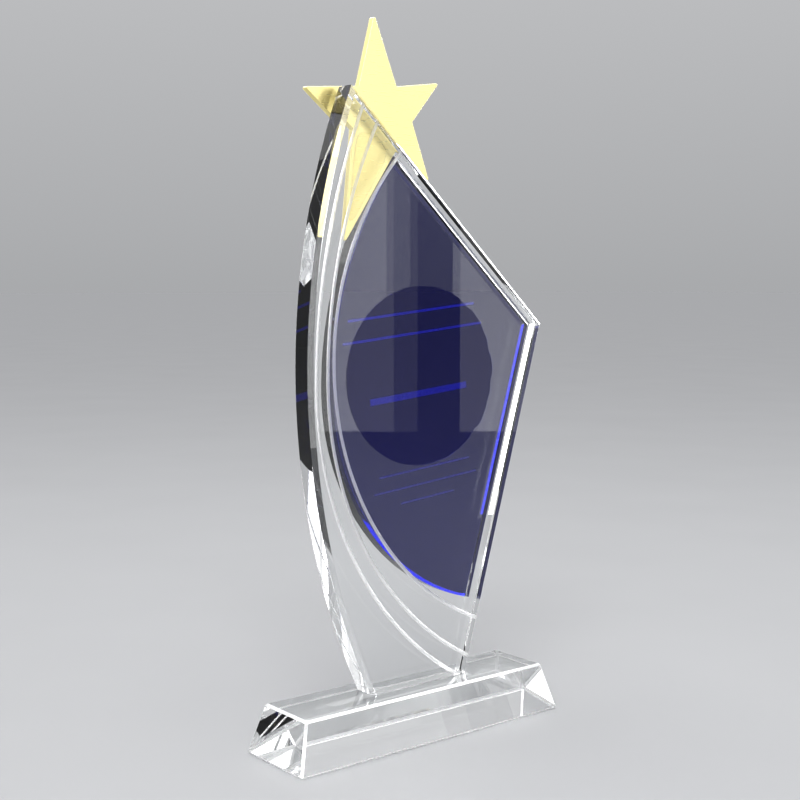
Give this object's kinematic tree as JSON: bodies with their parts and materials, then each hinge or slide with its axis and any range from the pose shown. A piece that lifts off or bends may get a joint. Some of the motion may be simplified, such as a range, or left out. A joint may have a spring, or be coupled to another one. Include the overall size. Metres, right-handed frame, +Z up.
{
  "type": "star trophy",
  "caption": "Clear sail-shaped crystal award plate with frosted sweeps, backed by a cobalt blue plate and a gold star, standing on a bevelled clear block.",
  "frame": {"origin": "centre of the base block's underside", "axes": "+Z up, +X along the block towards the sail's side corner, +Y through the plates' thickness from the frosted rear face towards the star and the blue plate"},
  "size_m": [0.1448, 0.0396, 0.3049],
  "materials": {
    "clear_glass": "polished optical crystal, sawn and bevelled",
    "blue_glass": "polished cobalt blue crystal",
    "gold_metal": "polished pale gold plate",
    "clear_adhesive": "water-clear cured adhesive film"
  },
  "bodies": {
    "root": {"base_block": "clear_glass", "foot_adhesive": "clear_adhesive", "sail_plate": "clear_glass", "plate_adhesive": "clear_adhesive", "blue_plate": "blue_glass", "star_adhesive": "clear_adhesive", "star": "gold_metal"}
  },
  "joints": []
}
